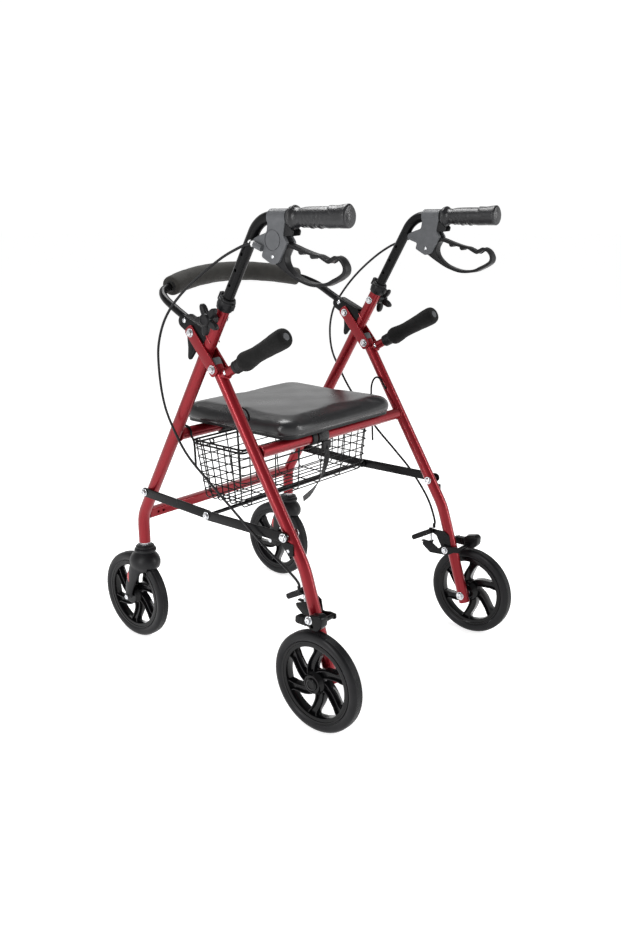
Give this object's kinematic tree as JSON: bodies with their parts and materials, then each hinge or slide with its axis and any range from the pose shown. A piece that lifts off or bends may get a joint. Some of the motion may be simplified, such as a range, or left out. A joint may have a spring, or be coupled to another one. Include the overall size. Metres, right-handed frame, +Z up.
{
  "type": "rollator walker",
  "caption": "Folding steel rollator with swivel casters, padded seat, under-seat wire basket, padded back bar, loop brakes and height-adjustable hand grips.",
  "frame": {"origin": "centre of the bounding box footprint, on the floor", "axes": "+X is the user's right, +Y is the walking direction, +Z is up"},
  "size_m": [0.594, 0.776, 0.9565],
  "materials": {
    "red_paint": "gloss metallic",
    "black_paint": "satin powder coat",
    "black_plastic": "fine grain",
    "wheel_plastic": "gloss moulded",
    "grey_plastic": "fine grain",
    "grip_rubber": "matt ribbed",
    "tyre_rubber": "matt ribbed",
    "foam": "matt foam",
    "vinyl": "soft gloss grain",
    "webbing": "woven",
    "zinc": "zinc plated"
  },
  "bodies": {
    "front_frame": {"front_upright_l": "red_paint", "front_upright_r": "red_paint", "cross_tube_front": "red_paint", "crossbar_lower": "red_paint", "height_collar_l": "black_plastic", "height_collar_r": "black_plastic", "pivot_bolt_l": "zinc", "pivot_bolt_r": "zinc", "backrest_bracket_l": "black_paint", "backrest_bracket_r": "black_paint", "brace_bolt_front_l": "zinc", "brace_bolt_front_r": "zinc", "cable_upper_l": "black_plastic", "cable_upper_r": "black_plastic"},
    "rear_frame": {"rear_leg_l": "red_paint", "rear_leg_r": "red_paint", "cross_tube_rear": "red_paint", "lift_grip_l": "foam", "lift_grip_r": "foam", "brace_bolt_rear_l": "zinc", "brace_bolt_rear_r": "zinc", "rear_axle_l": "zinc", "rear_axle_r": "zinc", "brake_bracket_l": "black_paint", "brake_bracket_r": "black_paint", "basket_hanger_l": "black_paint", "basket_hanger_r": "black_paint", "pull_strap": "webbing", "cable_lower_l": "black_plastic", "cable_lower_r": "black_plastic"},
    "brace_front": {"brace_front": "black_paint"},
    "brace_rear": {"brace_rear_l": "black_paint", "brace_rear_r": "black_paint"},
    "seat": {"seat_pad": "vinyl", "seat_board": "black_paint"},
    "basket": {"wire_basket": "black_paint"},
    "backrest": {"backrest_bar": "black_paint", "backrest_pad": "foam"},
    "handle_l": {"handle_tube_l": "black_paint", "hand_grip_l": "grip_rubber", "brake_housing_l": "grey_plastic"},
    "brake_lever_l": {"brake_lever_l": "black_plastic"},
    "star_knob_l": {"star_knob_l": "black_plastic"},
    "brake_arm_l": {"brake_arm_l": "black_paint"},
    "rear_wheel_l": {"tyre_rear_l": "tyre_rubber", "wheel_rear_l": "wheel_plastic"},
    "caster_l": {"caster_fork_l": "black_plastic"},
    "front_wheel_l": {"tyre_front_l": "tyre_rubber", "wheel_front_l": "wheel_plastic"},
    "handle_r": {"handle_tube_r": "black_paint", "hand_grip_r": "grip_rubber", "brake_housing_r": "grey_plastic"},
    "brake_lever_r": {"brake_lever_r": "black_plastic"},
    "star_knob_r": {"star_knob_r": "black_plastic"},
    "brake_arm_r": {"brake_arm_r": "black_paint"},
    "rear_wheel_r": {"tyre_rear_r": "tyre_rubber", "wheel_rear_r": "wheel_plastic"},
    "caster_r": {"caster_fork_r": "black_plastic"},
    "front_wheel_r": {"tyre_front_r": "tyre_rubber", "wheel_front_r": "wheel_plastic"}
  },
  "joints": [
    {"name": "frame_fold", "type": "hinge", "parent": "front_frame", "child": "rear_frame", "pos_m": [0, -0.0045, 0.654], "axis": [1, 0, 0], "range_deg": [0, 25], "deforming": ["cable_lower_l", "cable_lower_r"]},
    {"name": "brace_front_turn", "type": "hinge", "parent": "front_frame", "child": "brace_front", "pos_m": [0, 0.2195, 0.362], "axis": [1, 0, 0], "range_deg": [0, 59.43]},
    {"name": "brace_rear_turn", "type": "hinge", "parent": "rear_frame", "child": "brace_rear", "pos_m": [0, -0.1905, 0.357], "axis": [-1, 0, 0], "range_deg": [0, 59.21]},
    {"name": "basket_swing", "type": "hinge", "parent": "front_frame", "child": "basket", "pos_m": [0, 0.13234, 0.499], "axis": [1, 0, 0], "range_deg": [0, 17.6]},
    {"name": "seat_lift", "type": "hinge", "parent": "front_frame", "child": "seat", "pos_m": [0, 0.13234, 0.499], "axis": [-1, 0, 0], "range_deg": [0, 70]},
    {"name": "backrest_fold", "type": "hinge", "parent": "front_frame", "child": "backrest", "pos_m": [0, 0.0735, 0.742], "axis": [1, 0, 0], "range_deg": [0, 75]},
    {"name": "handle_height_l", "type": "slide", "parent": "front_frame", "child": "handle_l", "axis": [0, -0.5045, 0.8634], "range_m": [-0.056, 0.03], "deforming": ["cable_upper_l"]},
    {"name": "star_knob_turn_l", "type": "hinge", "parent": "front_frame", "child": "star_knob_l", "pos_m": [-0.24, -0.01549, 0.752], "axis": [-1, 0, 0], "continuous": true},
    {"name": "brake_squeeze_l", "type": "hinge", "parent": "handle_l", "child": "brake_lever_l", "pos_m": [-0.24, -0.1645, 0.87], "axis": [-1, 0, 0], "range_deg": [0, 14], "stiffness_Nm_per_rad": 1.2, "springref_deg": -5.73},
    {"name": "brake_arm_turn_l", "type": "hinge", "parent": "rear_frame", "child": "brake_arm_l", "pos_m": [-0.22, -0.2485, 0.204], "axis": [1, 0, 0], "range_deg": [0, 4.05]},
    {"name": "caster_swivel_l", "type": "hinge", "parent": "front_frame", "child": "caster_l", "pos_m": [-0.24, 0.2495, 0.236], "axis": [0, 0, 1], "continuous": true},
    {"name": "front_wheel_roll_l", "type": "hinge", "parent": "caster_l", "child": "front_wheel_l", "pos_m": [-0.24, 0.2885, 0.1], "axis": [1, 0, 0], "continuous": true},
    {"name": "rear_wheel_roll_l", "type": "hinge", "parent": "rear_frame", "child": "rear_wheel_l", "pos_m": [-0.277, -0.2885, 0.1], "axis": [1, 0, 0], "continuous": true},
    {"name": "handle_height_r", "type": "slide", "parent": "front_frame", "child": "handle_r", "axis": [0, -0.5045, 0.8634], "range_m": [-0.056, 0.03], "deforming": ["cable_upper_r"]},
    {"name": "star_knob_turn_r", "type": "hinge", "parent": "front_frame", "child": "star_knob_r", "pos_m": [0.24, -0.01549, 0.752], "axis": [1, 0, 0], "continuous": true},
    {"name": "brake_squeeze_r", "type": "hinge", "parent": "handle_r", "child": "brake_lever_r", "pos_m": [0.24, -0.1645, 0.87], "axis": [-1, 0, 0], "range_deg": [0, 14], "stiffness_Nm_per_rad": 1.2, "springref_deg": -5.73},
    {"name": "brake_arm_turn_r", "type": "hinge", "parent": "rear_frame", "child": "brake_arm_r", "pos_m": [0.22, -0.2485, 0.204], "axis": [1, 0, 0], "range_deg": [0, 4.05]},
    {"name": "caster_swivel_r", "type": "hinge", "parent": "front_frame", "child": "caster_r", "pos_m": [0.24, 0.2495, 0.236], "axis": [0, 0, 1], "continuous": true},
    {"name": "front_wheel_roll_r", "type": "hinge", "parent": "caster_r", "child": "front_wheel_r", "pos_m": [0.24, 0.2885, 0.1], "axis": [1, 0, 0], "continuous": true},
    {"name": "rear_wheel_roll_r", "type": "hinge", "parent": "rear_frame", "child": "rear_wheel_r", "pos_m": [0.277, -0.2885, 0.1], "axis": [1, 0, 0], "continuous": true}
  ],
  "couplings": [
    {"joint": "brace_front_turn", "follows": "frame_fold", "ratio": 2.3753},
    {"joint": "brace_rear_turn", "follows": "frame_fold", "ratio": 2.3666},
    {"joint": "basket_swing", "follows": "frame_fold", "ratio": 0.7},
    {"joint": "brake_arm_turn_l", "follows": "brake_squeeze_l", "ratio": 0.2857},
    {"joint": "brake_arm_turn_r", "follows": "brake_squeeze_r", "ratio": 0.2857}
  ]
}
